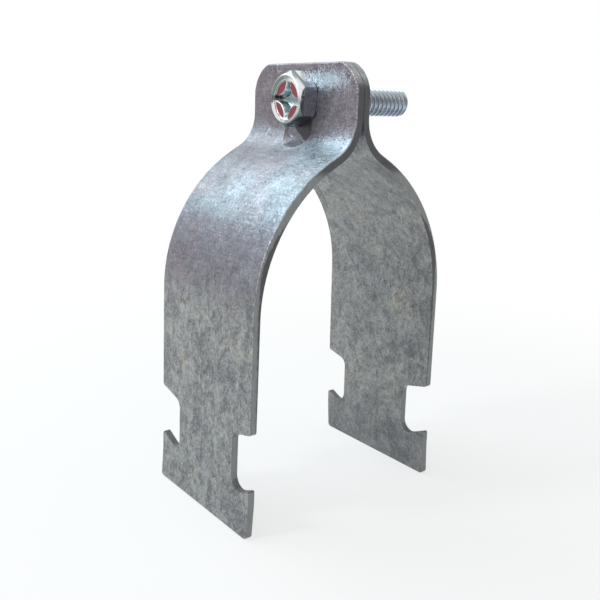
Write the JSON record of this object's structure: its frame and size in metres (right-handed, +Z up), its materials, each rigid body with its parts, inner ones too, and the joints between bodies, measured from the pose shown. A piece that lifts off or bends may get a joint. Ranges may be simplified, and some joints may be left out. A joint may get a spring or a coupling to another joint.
{
  "type": "strut clamp",
  "caption": "Strap clamp for conduit on slotted channel: bent steel halves with hooked feet, drawn together by a hex-head screw and a square nut.",
  "frame": {"origin": "on the conduit's axis, midway between the legs, at half the strap's width", "axes": "+Z up towards the ears, the conduit along Y, the screw along X with its head at -X and its tip at +X"},
  "size_m": [0.0547, 0.0348, 0.0938],
  "materials": {
    "galvanised_strap": "hot-dip galvanised steel, mottled grey with a soft sheen",
    "zinc_screw": "bright zinc-plated steel",
    "zinc_nut": "zinc-plated steel"
  },
  "bodies": {
    "front_half": {"front_strap": "galvanised_strap"},
    "screw": {"clamp_screw": "zinc_screw"},
    "nut": {"square_nut": "zinc_nut"},
    "back_half": {"back_strap": "galvanised_strap"}
  },
  "joints": [
    {"name": "nut_travel", "type": "slide", "parent": "front_half", "child": "nut", "axis": [1, 0, 0], "range_m": [0, 0.02]},
    {"name": "screw_turn", "type": "hinge", "parent": "front_half", "child": "screw", "pos_m": [0, 0, 0.04099], "axis": [-1, 0, 0], "range_deg": [0, 5670]},
    {"name": "strap_swing", "type": "hinge", "parent": "nut", "child": "back_half", "pos_m": [0, 0, 0.04099], "axis": [1, 0, 0], "continuous": true}
  ],
  "couplings": [
    {"joint": "screw_turn", "follows": "nut_travel", "rad_per_m": 4947.4}
  ]
}
